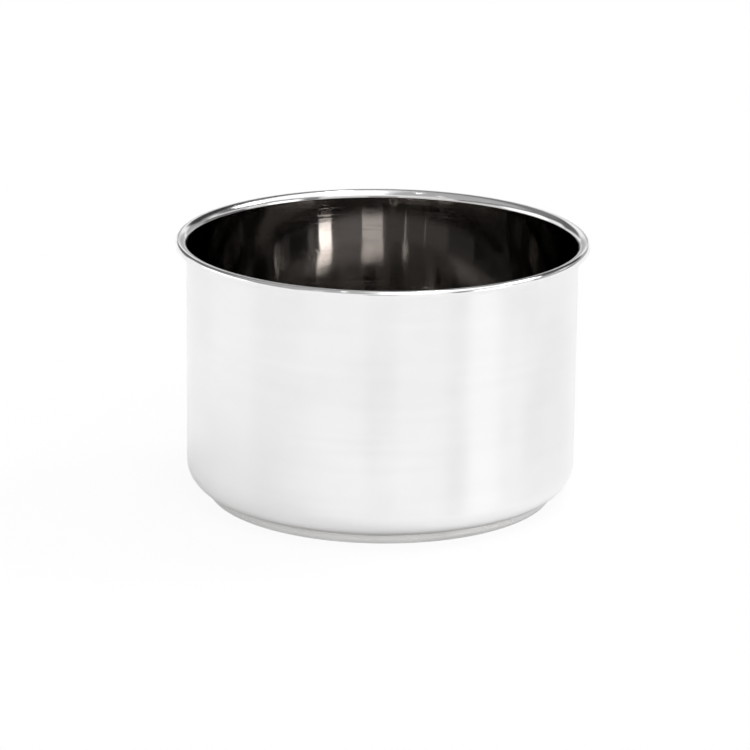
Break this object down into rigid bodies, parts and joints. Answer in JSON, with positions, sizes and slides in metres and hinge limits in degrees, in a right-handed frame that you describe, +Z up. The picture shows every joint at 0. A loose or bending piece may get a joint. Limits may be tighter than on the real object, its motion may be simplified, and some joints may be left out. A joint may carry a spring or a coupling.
{
  "type": "soup kettle insert pot",
  "caption": "Round, deep, polished stainless steel inner pot with an outward rolled rim and a capsule base; it hangs in a soup kettle's heated well and holds the soup.",
  "frame": {"origin": "centre of the base's underside, on the pot's axis, at the level of the surface it stands on", "axes": "+Z up along the pot's axis of revolution, out of its mouth; +X and +Y are any two level directions, because the pot is round"},
  "size_m": [0.3, 0.3, 0.191],
  "materials": {
    "polished_stainless": "bright polished stainless steel with a fine satin drift outside and a mirror inside",
    "base_stainless": "turned stainless steel with fine circular tool marks",
    "core_aluminium": "rolled sheet, hidden inside the base"
  },
  "bodies": {
    "root": {"pot_shell": "polished_stainless", "heat_spreader_disc": "core_aluminium", "base_cap": "base_stainless"}
  },
  "joints": []
}
